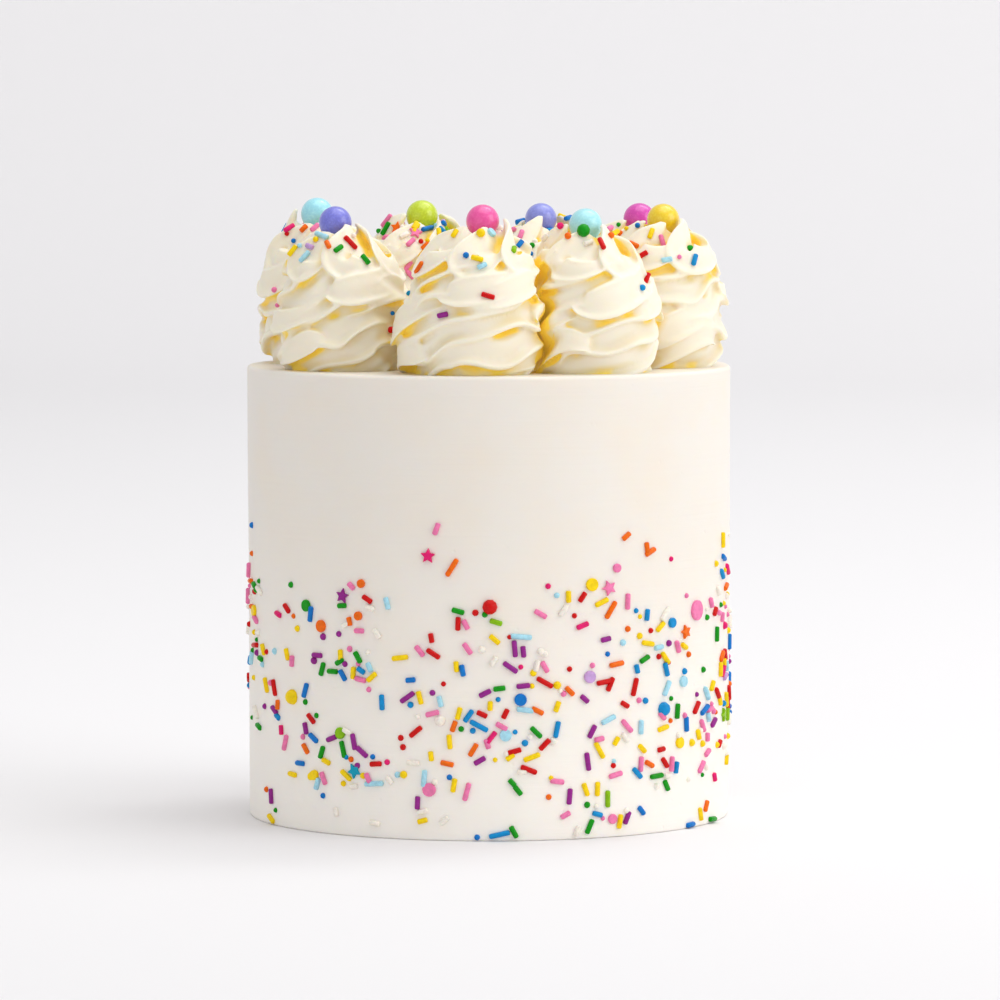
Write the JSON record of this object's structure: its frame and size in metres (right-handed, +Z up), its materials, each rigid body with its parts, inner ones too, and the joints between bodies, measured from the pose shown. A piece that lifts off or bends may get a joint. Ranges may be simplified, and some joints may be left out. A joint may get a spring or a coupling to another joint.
{
  "type": "birthday cake",
  "caption": "Tall round birthday cake in smooth white buttercream, with a ring of piped swirls and sugar pearls on top and mixed sprinkles round its lower side.",
  "frame": {"origin": "centre of the flat base, on the surface that the cake stands on", "axes": "+Z up along the cake's axis; -Y faces the front, the side with the densest sprinkles; +X to the right as seen from the front"},
  "size_m": [0.1606, 0.1625, 0.204],
  "materials": {
    "smooth_icing": "satin buttercream, scraped smooth",
    "piped_icing": "satin buttercream with crisp piped ridges",
    "pink_pearl": "glossy sugar shell",
    "aqua_pearl": "glossy sugar shell",
    "yellow_pearl": "glossy sugar shell",
    "magenta_pearl": "glossy sugar shell",
    "lavender_pearl": "glossy sugar shell",
    "lime_pearl": "glossy sugar shell",
    "light_blue_pearl": "glossy sugar shell",
    "periwinkle_pearl": "glossy sugar shell"
  },
  "bodies": {
    "root": {"cake_body": "smooth_icing", "swirl_1": "piped_icing", "swirl_2": "piped_icing", "swirl_3": "piped_icing", "swirl_4": "piped_icing", "swirl_5": "piped_icing", "swirl_6": "piped_icing", "swirl_7": "piped_icing", "swirl_8": "piped_icing", "pearl_1": "pink_pearl", "pearl_2": "aqua_pearl", "pearl_3": "yellow_pearl", "pearl_4": "magenta_pearl", "pearl_5": "lavender_pearl", "pearl_6": "lime_pearl", "pearl_7": "light_blue_pearl", "pearl_8": "periwinkle_pearl"}
  },
  "joints": []
}
